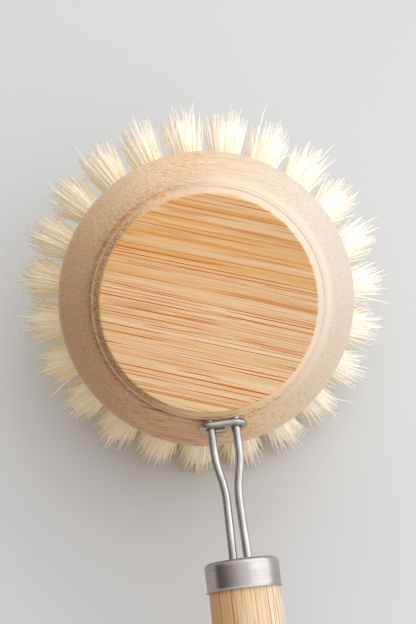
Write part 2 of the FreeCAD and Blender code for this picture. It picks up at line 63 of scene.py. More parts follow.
# %% Find the head's and the handle's axes
HEAD_HEIGHT = 17.5 * MM
record = frame["record"]
plateau = next(mount for mount in record["mounts"] if mount["name"] == "plateau_face")
ring_slide = next(joint for joint in frame["joints"] if joint["name"] == "ring_slide")
head_up = Vector(plateau["axis"]).normalized()
head_side = Vector((0, 1, 0))
head_forth = head_side.cross(head_up).normalized()
head_middle = Vector(plateau["pos_m"]) - head_up * HEAD_HEIGHT
handle_forth = Vector(ring_slide["axis"]).normalized()
handle_up = handle_forth.cross(head_side).normalized()
ferrule_low, ferrule_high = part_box("ferrule")
handle_middle = (ferrule_low + ferrule_high) / 2


def axes_at(origin, forth, side, up):
    """The matrix that takes a piece's own axes to the frame's."""
    turn = Matrix((forth, side, up)).transposed().to_4x4()
    return Matrix.Translation(origin) @ turn


head_axes = axes_at(head_middle, head_forth, head_side, head_up)
handle_axes = axes_at(handle_middle, handle_forth, head_side, handle_up)
print("head leans", round(math.degrees(head_up.angle(Vector((0, 0, 1)))), 1), "degrees")

# %% [markdown]
# ## Camera
# The photograph looks almost straight down on the flat top from about 40 cm, with the handle towards
# the lower edge and turned a little to the right. A camera could be aimed with a Track To constraint,
# but here the eye's place, two small tilts and a roll in the head's axes say the same thing in numbers
# that can be read off the picture.

# %% Set the camera
PICTURE_HEIGHT_PX = 624
FOCAL_PX = 1989.2
SENSOR = 36.0
NEAREST = 10 * MM
EYE = Vector((-28.7, -13.1, 407.0)) * MM
TILT_TO_HANDLE = math.radians(4.452)
TILT_TO_SIDE = math.radians(1.866)
ROLL = math.radians(7.05)


def add_to_scene(name, data):
    """A new object that shows the data, linked into the scene."""
    made = bpy.data.objects.new(name, data)
    bpy.context.scene.collection.objects.link(made)
    return made


gaze = Vector((math.tan(TILT_TO_HANDLE), math.tan(TILT_TO_SIDE), -1)).normalized()
rightwards = Vector((math.sin(ROLL), math.cos(ROLL), 0))
rightwards = (rightwards - gaze * rightwards.dot(gaze)).normalized()
upwards = rightwards.cross(gaze)
camera_data = bpy.data.cameras.new("eye")
camera_data.sensor_width = SENSOR
camera_data.lens = FOCAL_PX * SENSOR / PICTURE_HEIGHT_PX
camera_data.clip_start = NEAREST
camera = add_to_scene("eye", camera_data)
camera.matrix_world = head_axes @ axes_at(EYE, rightwards, upwards, -gaze)
bpy.context.scene.camera = camera
print("lens", round(camera_data.lens, 1), "mm")

# %% [markdown]
# ## Words for building shaders
# Every finish below is a small graph of nodes. Placing nodes by hand is slow to read as code, so these
# short helpers add one node each and give back the socket that carries its result. A finish then reads
# as a list of steps. The first helpers do sums and mix colours.

# %% Helpers that do sums and mix colours
def srgb(red, green, blue):
    """A colour as a screen shows it, 0 to 255, in the linear values that a shader works with."""
    def linear(channel):
        share = channel / 255
        return share / 12.92 if share <= 0.04045 else ((share + 0.055) / 1.055) ** 2.4
    return (linear(red), linear(green), linear(blue), 1.0)


class Sums:
    """A node tree, with a short word for each kind of sum and mix that the finishes use."""

    def __init__(self, tree):
        self.tree = tree

    def node(self, kind, **settings):
        """Adds a node and gives it its settings."""
        made = self.tree.nodes.new(kind)
        for name, value in settings.items():
            setattr(made, name, value)
        return made

    def feed(self, socket, value):
        """Joins an output to a socket, or sets the socket to a plain value."""
        if isinstance(value, bpy.types.NodeSocket):
            self.tree.links.new(value, socket)
        else:
            socket.default_value = value

    def math(self, operation, first, second=0.0, clamp=False):
        """One sum of two numbers."""
        made = self.node("ShaderNodeMath", operation=operation, use_clamp=clamp)
        self.feed(made.inputs[0], first)
        self.feed(made.inputs[1], second)
        return made.outputs[0]

    def times(self, *values):
        """The product of several numbers. A product of masks lets through only what they all do."""
        product = values[0]
        for value in values[1:]:
            product = self.math("MULTIPLY", product, value)
        return product

    def vector(self, operation, first, second, result=0):
        """One sum of two vectors. Output 0 is a vector and output 1 a number."""
        made = self.node("ShaderNodeVectorMath", operation=operation)
        self.feed(made.inputs[0], first)
        self.feed(made.inputs[1], second)
        return made.outputs[result]

    def remap(self, value, low, high, to_low=0.0, to_high=1.0, smooth=False):
        """Takes a value from one range to another and holds it at the ends."""
        made = self.node("ShaderNodeMapRange", interpolation_type="SMOOTHSTEP" if smooth else "LINEAR")
        for socket, part in zip(made.inputs[:5], (value, low, high, to_low, to_high)):
            self.feed(socket, part)
        return made.outputs[0]

    def mix(self, share, first, second):
        """Mixes two colours, which are inputs 6 and 7 among those for other types of data."""
        made = self.node("ShaderNodeMix", data_type="RGBA")
        self.feed(made.inputs[0], share)
        self.feed(made.inputs[6], first)
        self.feed(made.inputs[7], second)
        return made.outputs[2]

    def split(self, place):
        """The three parts of a vector."""
        made = self.node("ShaderNodeSeparateXYZ")
        self.feed(made.inputs[0], place)
        return made.outputs

    def join(self, x, y, z):
        """A vector of three parts."""
        made = self.node("ShaderNodeCombineXYZ")
        for socket, part in zip(made.inputs, (x, y, z)):
            self.feed(socket, part)
        return made.outputs[0]


print("a grey of 128 on the screen is", round(srgb(128, 128, 128)[0], 3), "in a shader")

# %% [markdown]
# The other helpers look at the surface: where a point lies on its piece, how squarely the surface cuts
# the grain, and the noise and dents that follow from it. World coordinates could say where a point
# lies, but then the grain would swim through a piece that a joint moves. Object coordinates move with
# the piece. Lengths in every finish are in millimetres.

# %% Helpers that look at the surface
class Graph(Sums):
    """Sums and mixes, and words that look at the surface as well."""

    def place_in(self, axes):
        """The surface point in a piece's own axes, in millimetres."""
        into = axes.inverted()
        coordinates = self.node("ShaderNodeTexCoord")
        moved = self.node("ShaderNodeMapping", vector_type="POINT")
        self.feed(moved.inputs["Vector"], coordinates.outputs["Object"])
        moved.inputs["Location"].default_value = into.translation / MM
        moved.inputs["Rotation"].default_value = into.to_euler("XYZ")
        moved.inputs["Scale"].default_value = (1 / MM,) * 3
        return moved.outputs[0]

    def squarely_cut(self, line):
        """How squarely the surface cuts a line: 0 along it and 1 across it."""
        facing = self.node("ShaderNodeTexCoord").outputs["Normal"]
        return self.math("ABSOLUTE", self.vector("DOT_PRODUCT", facing, line, result=1))

    def noise(self, place, stretch, detail=2.0, roughness=0.5):
        """Cloudy noise whose clouds have the stretch's length, width and height."""
        scaled = self.vector("DIVIDE", place, stretch)
        made = self.node("ShaderNodeTexNoise")
        self.feed(made.inputs["Vector"], scaled)
        self.feed(made.inputs["Scale"], 1.0)
        self.feed(made.inputs["Detail"], detail)
        self.feed(made.inputs["Roughness"], roughness)
        return made.outputs[0]

    def bump(self, height, strength, distance):
        """A normal that leans as a surface of this height would."""
        made = self.node("ShaderNodeBump")
        self.feed(made.inputs["Strength"], strength)
        self.feed(made.inputs["Distance"], distance)
        self.feed(made.inputs["Height"], height)
        return made.outputs[0]


print("one unit of length in a finish is", MM, "m")

# %% [markdown]
# Some effects show on more than one piece. Their nodes could be copied into every material, but then a
# change has to be made in each copy. A node group is built once and placed wherever it is needed, with
# its own values.

# %% Group and finish helpers
def new_group(name, inputs, outputs):
    """An empty shader group with named sockets: its graph, its inputs and its outputs."""
    tree = bpy.data.node_groups.new(name, "ShaderNodeTree")
    for word, kind in inputs.items():
        tree.interface.new_socket(word, in_out="INPUT", socket_type=f"NodeSocket{kind}")
    for word, kind in outputs.items():
        tree.interface.new_socket(word, in_out="OUTPUT", socket_type=f"NodeSocket{kind}")
    graph = Graph(tree)
    entry = graph.node("NodeGroupInput")
    leave = graph.node("NodeGroupOutput")
    return graph, entry.outputs, leave.inputs


def use_group(graph, name, **values):
    """Places a group in a finish, feeds its inputs by name and gives back its outputs."""
    made = graph.node("ShaderNodeGroup", node_tree=bpy.data.node_groups[name])
    for word, value in values.items():
        graph.feed(made.inputs[word], value)
    return made.outputs


def new_finish(name):
    """A new material: itself, its graph and its shader's inputs."""
    material = bpy.data.materials.new(name)
    material.use_nodes = True
    return material, Graph(material.node_tree), material.node_tree.nodes["Principled BSDF"].inputs


def give_finish(node, material):
    """Puts a material on all of a solid piece."""
    piece = frame["nodes"][node]
    if not piece.material_slots:
        piece.data.materials.append(material)
    for holder in piece.material_slots:
        holder.material = material
    print(node, "takes", material.name)


print(len(frame["nodes"]), "solid pieces wait for a finish")

# %% [markdown]
# ## Bamboo grain
# Bamboo has no growth rings. It is a pale ground full of stiff brown strands that run dead straight, so
# a cut along the strands shows long thin lines and a cut across them shows dots. An image of lines
# could be wrapped round the wood, but it would smear on the flanks. Here each strand is a cell of a
# flat Voronoi pattern that is drawn out along the grain, so lines and dots come by themselves wherever
# the lathe has cut. The strands sway and dive a little as they run, and a line thins out where its
# strand leaves the surface. Head and handle share it as a node group.

# %% Build the grain group
STRAND_SPACINGS = ((0.60, 1.2), (0.34, 0.8))
STRAND_SIZES = ((0.15, 0.33), (0.15, 0.35))
STRAND_STRENGTHS = ((0.62, 1.0), (0.25, 0.90))
STRAND_CORE = 0.55
STRAND_SCATTER = 0.9
SWAY_LENGTHS, SWAY = (120.0, 14.0, 14.0), 1.1
DIVE_LENGTHS, DIVE = (46.0, 2.0, 40.0), 1.5

graph, given, result = new_group(
    "bamboo_grain",
    {"Place": "Vector", "Endgrain": "Float", "Warmth": "Float", "Lines": "Float",
     "Pale": "Color", "Honey": "Color", "Strand": "Color"},
    {"Colour": "Color", "Height": "Float", "Roughness": "Float"})
sway = graph.remap(graph.noise(given["Place"], SWAY_LENGTHS, detail=1.0), 0.0, 1.0, -SWAY, SWAY)
dive = graph.remap(graph.noise(given["Place"], DIVE_LENGTHS, detail=1.0), 0.0, 1.0, -DIVE, DIVE)
place = graph.vector("ADD", given["Place"], graph.join(0.0, sway, dive))
across, upward = graph.split(place)[1:]


def strand_cells(spacing):
    """One set of strands: the distance to a strand's middle and two random numbers for it."""
    cells = graph.node("ShaderNodeTexVoronoi", voronoi_dimensions="2D")
    width, height = spacing
    flat = graph.join(graph.math("DIVIDE", across, width), graph.math("DIVIDE", upward, height), 0.0)
    graph.feed(cells.inputs["Vector"], flat)
    graph.feed(cells.inputs["Scale"], 1.0)
    graph.feed(cells.inputs["Randomness"], STRAND_SCATTER)
    chance = graph.split(cells.outputs["Color"])
    return cells.outputs["Distance"], chance[0], chance[1]


strand = 0.0
for spacing, sizes, strengths in zip(STRAND_SPACINGS, STRAND_SIZES, STRAND_STRENGTHS):
    distance, chance, other_chance = strand_cells(spacing)
    reach = graph.remap(chance, 0.0, 1.0, *sizes)
    core = graph.math("MULTIPLY", reach, STRAND_CORE)
    line = graph.remap(distance, core, reach, 1.0, 0.0, smooth=True)
    line = graph.times(line, graph.remap(other_chance, 0.0, 1.0, *strengths))
    strand = graph.math("MAXIMUM", line, strand)
strand = graph.math("MULTIPLY", strand, given["Lines"], clamp=True)
print("strands of", len(STRAND_SPACINGS), "sizes")

# %% [markdown]
# Between the strands the ground changes slowly from cream to honey in wide bands, with thin pale lines
# among them, and everything carries a very fine fuzz. One noise with much detail could give all of it,
# but bands, lines and fuzz differ so much in size that each is easier to set by itself. Cut across, at
# the ends of the grain, lines and bands are weaker.

# %% Colour the grain
PALE_SPACING = (0.55, 1.3)
PALE_SIZES = (0.05, 0.28)
PALE_SHARE = 0.55
BAND_LENGTHS = (190.0, 1.7, 6.0)
BAND_EDGES, BAND_SHARES = (0.34, 0.68), (0.05, 0.52)
END_EDGES, END_SHARE = (0.25, 0.8), 0.40
FUZZ_LENGTHS = (16.0, 0.26, 0.26)
FUZZ_EDGES = (0.25, 0.75)
FUZZ_TINTS = ((0.90, 1.07), (0.80, 1.14), (0.66, 1.24))
FUZZ_HEIGHT = 0.6
GROUND_ROUGHNESS, STRAND_ROUGHNESS = 0.52, 0.42

distance, chance = strand_cells(PALE_SPACING)[:2]
pale_line = graph.times(graph.remap(distance, *PALE_SIZES, 1.0, 0.0, smooth=True), chance)
bands = graph.noise(place, BAND_LENGTHS, detail=3.0)
bands = graph.remap(bands, *BAND_EDGES, *BAND_SHARES, smooth=True)
bands = graph.math("ADD", bands, given["Warmth"], clamp=True)
along_grain = graph.remap(given["Endgrain"], *END_EDGES, 1.0, END_SHARE, smooth=True)
ground = graph.mix(graph.times(bands, along_grain), given["Pale"], given["Honey"])
ground = graph.mix(graph.times(pale_line, PALE_SHARE), ground, given["Pale"])
drawn = graph.mix(graph.times(strand, along_grain), ground, given["Strand"])
fuzz = graph.noise(place, FUZZ_LENGTHS, detail=3.0, roughness=0.65)
tint = graph.join(*[graph.remap(fuzz, *FUZZ_EDGES, low, high) for low, high in FUZZ_TINTS])
graph.feed(result["Colour"], graph.vector("MULTIPLY", drawn, tint))
graph.feed(result["Height"], graph.math("SUBTRACT", graph.times(fuzz, FUZZ_HEIGHT), strand))
graph.feed(result["Roughness"], graph.remap(strand, 0.0, 1.0, GROUND_ROUGHNESS, STRAND_ROUGHNESS))
print("bamboo_grain has", len(graph.tree.nodes), "nodes")

# %% [markdown]
# ## Painted light and shade on the sides
# Each piece is painted browner on the side away from the lamp, as painted shade, and paler and whiter
# on the side towards it, as painted light. The tufts get the same, more golden on the shaded side of
# the head. A Color Ramp could hold such a row of colours, but its stops can't be set from outside a
# group. Here two mixes take three colours as named inputs, so head, handle and fibres share one group.

# %% Build the side tint group
graph, given, result = new_group(
    "light_side_tint",
    {"Way": "Float", "Reach": "Float", "Brown": "Color", "Middle": "Color", "Pale": "Color"},
    {"Tint": "Color"})
# The way runs from the shaded side, painted Brown, through Middle to the lit side, painted Pale.
to_middle = graph.remap(given["Way"], graph.math("MULTIPLY", given["Reach"], -1.0), 0.0)
to_pale = graph.remap(given["Way"], 0.0, given["Reach"])
tint = graph.mix(to_middle, given["Brown"], given["Middle"])
graph.feed(result["Tint"], graph.mix(to_pale, tint, given["Pale"]))
print("light_side_tint has", len(graph.tree.nodes), "nodes")

# %% [markdown]
# ## Turned head
# The head is turned from one blank, so its lines run across the flat top at a slant to the handle. A
# picture of wood could be laid on from above, but it would stretch down the flanks. Here the surface
# point, in axes that follow the grain, feeds the grain group, and how squarely the surface cuts the
# strands tells where they end.

# %% Lay the grain through the head
HEAD_GRAIN_ANGLE = math.radians(18.7)
WARM_FROM, WARM_TO, WARM_MOST = -4.0, 11.0, 0.35
LINES_COOL, LINES_WARM = 1.3, 1.0
HEAD_WOOD = {"Pale": srgb(235, 205, 167), "Honey": srgb(222, 160, 82), "Strand": srgb(203, 105, 0)}

grain_forth = Vector((math.sin(HEAD_GRAIN_ANGLE), math.cos(HEAD_GRAIN_ANGLE), 0))
grain_side = Vector((-math.cos(HEAD_GRAIN_ANGLE), math.sin(HEAD_GRAIN_ANGLE), 0))
head_grain_axes = head_axes @ axes_at(Vector(), grain_forth, grain_side, Vector((0, 0, 1)))
head_finish, graph, shader = new_finish("head_bamboo")
place = graph.place_in(head_grain_axes)
x, y, z = graph.split(place)
end_grain = graph.squarely_cut(head_grain_axes.to_3x3().col[0])
warmth = graph.remap(y, WARM_FROM, WARM_TO, 0.0, WARM_MOST, smooth=True)
lines = graph.remap(y, WARM_FROM, WARM_TO, LINES_COOL, LINES_WARM, smooth=True)
grain = use_group(graph, "bamboo_grain", Place=place, Endgrain=end_grain, Warmth=warmth, Lines=lines,
                  **HEAD_WOOD)
print("head grain lies", round(math.degrees(HEAD_GRAIN_ANGLE), 1), "degrees off square")

# %% [markdown]
# Flat top, flanks and steps differ in colour. They could be painted by hand, but the turned shape
# already says where each of them lies, so masks made of height, radius and the way round do it.

# %% Mask the flat top and the ways round the head
TOP_FROM, TOP_TO = 17.0, 17.4
# The lit side: painted light lies towards this angle from the grain, painted shade away from it.
LIT_SIDE_ANGLE = math.radians(38)

on_top = graph.remap(z, TOP_FROM, TOP_TO, smooth=True)
under_top = graph.math("SUBTRACT", 1.0, on_top)
radius = graph.vector("LENGTH", graph.join(x, y, 0.0), (0.0, 0.0, 0.0), result=1)


def towards(angle):
    """The level direction at an angle from the grain."""
    return (math.cos(angle), math.sin(angle), 0.0)


def way_round(angle, edges):
    """A mask of the places that lie round the head towards an angle, between two cosines."""
    outward = graph.vector("DOT_PRODUCT", place, towards(angle), result=1)
    return graph.remap(graph.math("DIVIDE", outward, radius), *edges, smooth=True)


def near_radius(middle, reach, share=1.0):
    """A mask of the places whose distance from the turning axis is near a radius."""
    off = graph.math("ABSOLUTE", graph.math("SUBTRACT", radius, middle))
    return graph.remap(off, *reach, share, 0.0, smooth=True)


# How far a point lies towards the lit side, which the painted light and shade follow.
lit_way = graph.vector("DOT_PRODUCT", place, towards(LIT_SIDE_ANGLE), result=1)
print("head is palest", round(math.degrees(LIT_SIDE_ANGLE)), "degrees from the grain")

# %% [markdown]
# The flat top was sanded last and looks warm and crisp. On the flanks the lathe cut the strands short,
# so they look speckled, most of all where the strands end. On the side towards the lamp the speckle is
# painted calmer and the lines fewer, as painted light that washes them out, and the side tint paints
# the whole head lit and shaded, the flat top only in part. Another wood could be made for the flanks,
# but a fine speckle mixed over the same grain lets the lines run on from the top.

# %% Colour the flanks and the flat top
TOP_SHARE = 0.35
SPECKLE_LENGTHS, SPECKLE_EDGES = (3.0, 0.32, 0.32), (0.34, 0.66)
SPECKLE_BROWN, SPECKLE_PALE = srgb(202, 159, 112), srgb(224, 198, 165)
LIT_WASHOUT_MOST = 0.32
FLANK_EDGES, FLANK_SHARES = (0.15, 0.6), (0.2, 0.92)
HEAD_REACH = 28.0
HEAD_LIGHT_TINTS = {"Brown": (0.86, 0.67, 0.47, 1.0), "Middle": (1.12, 1.16, 1.18, 1.0),
              "Pale": (0.91, 1.10, 1.51, 1.0)}
WHITE = (1.0, 1.0, 1.0, 1.0)

# Painted light: on the lit side the speckle loses contrast, and below the lines give way to it.
lit_washout = graph.remap(lit_way, 0.0, HEAD_REACH, 0.0, LIT_WASHOUT_MOST)
speckle = graph.noise(place, SPECKLE_LENGTHS, detail=2.0, roughness=0.6)
speckle = graph.remap(speckle, *SPECKLE_EDGES, lit_washout, graph.math("SUBTRACT", 1.0, lit_washout))
cut_short = graph.mix(speckle, SPECKLE_BROWN, SPECKLE_PALE)
end_or_lit_share = graph.math("MAXIMUM", graph.remap(end_grain, *FLANK_EDGES, *FLANK_SHARES),
                    graph.remap(lit_way, 0.0, HEAD_REACH, *FLANK_SHARES))
flank = graph.mix(end_or_lit_share, grain["Colour"], cut_short)
# Painted light and shade: browner on the shaded side, paler and whiter on the lit side; a third of it on the flat
# top.
light_tint = use_group(graph, "light_side_tint", Way=lit_way, Reach=HEAD_REACH, **HEAD_LIGHT_TINTS)["Tint"]
light_tint = graph.mix(graph.times(on_top, 1.0 - TOP_SHARE), light_tint, WHITE)
colour = graph.vector("MULTIPLY", graph.mix(on_top, flank, grain["Colour"]), light_tint)
print("flanks and flat top coloured")

# %% [markdown]
# Between flank and top the lathe left narrow steps: a cove, a bead and a sloping wall. On the lit side
# the steps are painted cream, as painted light, the bead is painted greyer on the shaded side, as a
# painted highlight line, and the cove on the lit side is painted paler, lightening the shade that falls
# in it. Each step could be a material of its own, but they are one piece of wood, so their tones are
# mixed over its colour and fade into each other.

# %% Colour the steps
STEPS_FROM, STEPS_FULL, STEPS_SHARE = 11.9, 13.2, 0.60
STEPS_PAINTED_LIGHT, STEPS_EDGES = srgb(224, 208, 188), (-0.1, 0.5)
BEAD_FROM, BEAD_SHARE = 13.7, 0.35
BEAD_PAINTED_HIGHLIGHT, BEAD_EDGES = srgb(160, 135, 104), (0.0, 0.6)
WALL_FROM, WALL_FULL = 15.7, 16.0
COVE_RADIUS, COVE_REACH, COVE_SHARE = 23.55, (0.3, 0.5), 0.45
COVE_PAINTED_LIGHT, COVE_EDGES = srgb(246, 232, 214), (0.1, 0.6)

# Painted light: the steps turn cream on the lit side.
lit_steps = graph.remap(z, STEPS_FROM, STEPS_FULL, 0.0, STEPS_SHARE, smooth=True)
lit_steps = graph.times(lit_steps, way_round(LIT_SIDE_ANGLE, STEPS_EDGES), under_top)
colour = graph.mix(lit_steps, colour, STEPS_PAINTED_LIGHT)
under_wall = graph.remap(z, WALL_FROM, WALL_FULL, 1.0, 0.0, smooth=True)
# Painted highlight: on the shaded side the bead is greyed, like a thin highlight line along it.
bead_highlight = graph.remap(z, STEPS_FULL, BEAD_FROM, 0.0, BEAD_SHARE, smooth=True)
bead_highlight = graph.times(bead_highlight, way_round(LIT_SIDE_ANGLE + math.pi, BEAD_EDGES), under_wall)
colour = graph.mix(bead_highlight, colour, BEAD_PAINTED_HIGHLIGHT)
# Painted light: on the lit side the cove is paler, lightening the shade that falls in it.
lit_cove = graph.times(near_radius(COVE_RADIUS, COVE_REACH, COVE_SHARE),
                      graph.remap(z, STEPS_FROM, STEPS_FULL, smooth=True),
                      way_round(LIT_SIDE_ANGLE, COVE_EDGES))
colour = graph.mix(lit_cove, colour, COVE_PAINTED_LIGHT)
print("steps coloured from", STEPS_FROM, "mm up")

# %% [markdown]
# At one end of the strands the tool tore small pits into the ledge and the wall under the top. Pits
# could be cut into the mesh, but they are too fine for its faces. Here a coarse noise, let through only
# there, darkens and dents the surface. On the wall the pits lie on the side away from the lamp, so their
# dark brown is partly painted shade. Towards the fork the wall is painted paler, as painted light on a
# face that turns from the lamp.

# %% Add the torn ledge, the painted shade on the wall and the painted light towards the fork
LEDGE_RADIUS, LEDGE_REACH = 24.1, (0.0, 2.1)
LEDGE_FROM, LEDGE_FULL, LEDGE_TO, LEDGE_END = 10.8, 12.2, 14.0, 14.4
TORN_LEDGE_ANGLE, TORN_LEDGE_EDGES = math.radians(155), (0.45, 0.95)
SHADED_WALL_ANGLE, SHADED_WALL_EDGES = math.radians(200), (0.3, 0.8)
TORN_LEDGE_SHARE, TORN_SHARE = 0.5, 0.7
TORN_AND_SHADE_BROWN = srgb(140, 90, 50)
PIT_LENGTHS, PIT_EDGES, PIT_SHARES = (1.0, 0.5, 0.5), (0.44, 0.60), (0.1, 1.0)
LIT_WALL_ANGLE, LIT_WALL_EDGES, LIT_WALL_SHARE = math.radians(305), (0.5, 0.95), 0.8
LIT_WALL_CREAM = srgb(252, 213, 165)

on_wall = graph.times(graph.remap(z, WALL_FROM, WALL_FULL, smooth=True), under_top)
# Painted light: towards the fork the wall is paler, lifting the shade on a face that turns from the lamp.
painted_lit_wall = graph.times(on_wall, way_round(LIT_WALL_ANGLE, LIT_WALL_EDGES), LIT_WALL_SHARE)
colour = graph.mix(painted_lit_wall, colour, LIT_WALL_CREAM)
on_ledge = graph.times(near_radius(LEDGE_RADIUS, LEDGE_REACH),
                       graph.remap(z, LEDGE_FROM, LEDGE_FULL, smooth=True),
                       graph.remap(z, LEDGE_TO, LEDGE_END, 1.0, 0.0, smooth=True),
                       way_round(TORN_LEDGE_ANGLE, TORN_LEDGE_EDGES), TORN_LEDGE_SHARE)
# Painted shade: the wall's pits are let through on the side away from the lamp, darkening it.
shaded_torn_wall = graph.times(on_wall, way_round(SHADED_WALL_ANGLE, SHADED_WALL_EDGES))
pits = graph.remap(graph.noise(place, PIT_LENGTHS, detail=2.0), *PIT_EDGES, *PIT_SHARES, smooth=True)
# Tear-out on the ledge, and on the wall tear-out with painted shade; the same mask dents the surface.
torn_and_shaded = graph.times(graph.math("MAXIMUM", on_ledge, shaded_torn_wall), pits)
colour = graph.mix(graph.times(torn_and_shaded, TORN_SHARE), colour, TORN_AND_SHADE_BROWN)
print("ledge and wall torn and sanded")

# %% [markdown]
# A short split has opened along the grain at the ledge. It is too fine for the mesh as well, so it is a
# dark line where two masks cross, one for its length and one for its width.

# %% Add the split
SPLIT_PLACE = (-6.4, -23.1)
SPLIT_HALF_LENGTH, SPLIT_HALF_WIDTH = (1.6, 2.8), (0.04, 0.19)
SPLIT_SHARE, SPLIT_DARK = 0.75, srgb(92, 56, 30)

split = under_top
for way, middle, reach in zip((x, y), SPLIT_PLACE, (SPLIT_HALF_LENGTH, SPLIT_HALF_WIDTH)):
    off = graph.math("ABSOLUTE", graph.math("SUBTRACT", way, middle))
    split = graph.times(split, graph.remap(off, *reach, 1.0, 0.0, smooth=True))
colour = graph.mix(graph.times(split, SPLIT_SHARE), colour, SPLIT_DARK)
print("split is", 2 * SPLIT_HALF_LENGTH[1], "mm long")

# %% [markdown]
# Turned wood is often waxed on the lathe, which leaves a thin soft shine over the flanks. Sanding takes
# it off the wall and the top again. The wood itself could be made less rough, but a coat on the shader
# has its own shine over matt wood and can end at the wall.

# %% Finish the head
WOOD_BUMP_DEPTH = 0.05 * MM
WOOD_SHINE = 0.15
WOOD_SHEEN = 0.1
WAX_ROUGHNESS = 0.5
WAX_IOR = 1.5
HEAD_BUMP = 0.30
TORN_DEPTH = 4.0

graph.feed(shader["Base Color"], colour)
height = graph.math("SUBTRACT", grain["Height"], graph.times(torn_and_shaded, TORN_DEPTH))
graph.feed(shader["Normal"], graph.bump(height, HEAD_BUMP, WOOD_BUMP_DEPTH))
graph.feed(shader["Roughness"], grain["Roughness"])
graph.feed(shader["Coat Weight"], graph.remap(z, WALL_FROM, WALL_FULL, 1.0, 0.0))
shader["Coat Roughness"].default_value = WAX_ROUGHNESS
shader["Coat IOR"].default_value = WAX_IOR
shader["Specular IOR Level"].default_value = WOOD_SHINE
shader["Sheen Weight"].default_value = WOOD_SHEEN
give_finish("head_block", head_finish)

# %% [markdown]
# ## Handle
# The handle is turned from a stick of the same bamboo, with its lines running from ferrule to tail. It
# could have a wood of its own, but the same two groups do it, in axes that follow the handle. The side
# of the stick away from the lamp is painted browner, as painted shade, and the side towards it paler,
# as painted light. Nothing took its wax off, so the coat covers all of it.

# %% Finish the handle
STICK_WOOD = {"Pale": srgb(228, 198, 159), "Honey": srgb(216, 168, 113), "Strand": srgb(190, 121, 60)}
STICK_REACH = 8.0
STICK_LIGHT_TINTS = {"Brown": (0.94, 0.76, 0.57, 1.0), "Middle": (1.04, 1.05, 1.05, 1.0),
               "Pale": (0.90, 1.07, 1.48, 1.0)}
STICK_BUMP = 0.35

handle_finish, graph, shader = new_finish("handle_bamboo")
place = graph.place_in(handle_axes)
end_grain = graph.squarely_cut(handle_forth)
grain = use_group(graph, "bamboo_grain", Place=place, Endgrain=end_grain, Warmth=0.0, Lines=1.0,
                  **STICK_WOOD)
across = graph.split(place)[1]
# Painted light and shade across the stick: browner away from the lamp, paler towards it.
light_tint = use_group(graph, "light_side_tint", Way=across, Reach=STICK_REACH, **STICK_LIGHT_TINTS)["Tint"]
graph.feed(shader["Base Color"], graph.vector("MULTIPLY", grain["Colour"], light_tint))
graph.feed(shader["Normal"], graph.bump(grain["Height"], STICK_BUMP, WOOD_BUMP_DEPTH))
graph.feed(shader["Roughness"], grain["Roughness"])
shader["Coat Weight"].default_value = 1.0
shader["Coat Roughness"].default_value = WAX_ROUGHNESS
shader["Coat IOR"].default_value = WAX_IOR
shader["Specular IOR Level"].default_value = WOOD_SHINE
give_finish("handle", handle_finish)

# %% [markdown]
# ## Satin metal
# Fork, ring and ferrule are all mild satin steel, worked in different directions: wire is drawn
# lengthwise, and the ferrule was spun and brushed round. The shader's own anisotropy could stretch the
# highlights, but it shows no single scratches. One group makes them from a noise that is drawn out
# along the working direction, and each finish gives it its own stretch.

# %% Build the scratch group
SCRATCH_SHARE, PATCH_SHARE = 0.6, 0.4
PATCH_LENGTHS = (3.5, 3.5, 3.5)
WORN_EDGES = (0.36, 0.64)
POLISH_EDGES = (0.3, 0.7)

graph, given, result = new_group(
    "worked_metal",
    {"Place": "Vector", "Stretch": "Vector", "Bright": "Color", "Dull": "Color",
     "Smooth": "Float", "Rough": "Float"},
    {"Colour": "Color", "Height": "Float", "Roughness": "Float"})
scratches = graph.noise(given["Place"], given["Stretch"], detail=4.0, roughness=0.65)
patches = graph.noise(given["Place"], PATCH_LENGTHS, detail=2.0)
worn = graph.math("ADD", graph.times(scratches, SCRATCH_SHARE), graph.times(patches, PATCH_SHARE))
bright = graph.remap(worn, *WORN_EDGES, smooth=True)
graph.feed(result["Colour"], graph.mix(bright, given["Dull"], given["Bright"]))
graph.feed(result["Height"], scratches)
graph.feed(result["Roughness"], graph.remap(worn, *POLISH_EDGES, given["Rough"], given["Smooth"]))
print("worked_metal has", len(graph.tree.nodes), "nodes")

# %% [markdown]
# Each metal below has its own row: the size of its scratches in the handle's axes, a bright and a dull
# tone, and for the ferrule how smooth its polished spots are. Four materials could be set up one by
# one, but one function and a table keep them alike.

# %% Finish the metal
METAL_BUMP, METAL_BUMP_DEPTH = 0.12, 0.02 * MM
WIRE_SMOOTH, FERRULE_SMOOTH, METAL_ROUGH = 0.22, 0.26, 0.34
METALS = {
    "fork_wire": {"stretch": (14.0, 0.16, 0.16),
                  "bright": srgb(196, 192, 189), "dull": srgb(164, 159, 155)},
    "ring_wire": {"stretch": (0.3, 6.0, 0.3),
                  "bright": srgb(198, 194, 191), "dull": srgb(158, 153, 150)},
    "ferrule_steel": {"stretch": (0.10, 9.0, 9.0), "smooth": FERRULE_SMOOTH,
                      "bright": srgb(186, 180, 177), "dull": srgb(167, 160, 156)},
    "staple_wire": {"stretch": (0.3, 0.3, 3.0),
                    "bright": srgb(190, 188, 185), "dull": srgb(140, 138, 136)},
}


def metal_finish(name, stretch, bright, dull, smooth=WIRE_SMOOTH):
    """A satin metal whose scratches have the stretch's size in the handle's axes."""
    material, graph, shader = new_finish(name)
    worked = use_group(graph, "worked_metal", Place=graph.place_in(handle_axes), Stretch=stretch,
                       Bright=bright, Dull=dull, Smooth=smooth, Rough=METAL_ROUGH)
    shader["Metallic"].default_value = 1.0
    graph.feed(shader["Base Color"], worked["Colour"])
    graph.feed(shader["Roughness"], worked["Roughness"])
    graph.feed(shader["Normal"], graph.bump(worked["Height"], METAL_BUMP, METAL_BUMP_DEPTH))
    return material


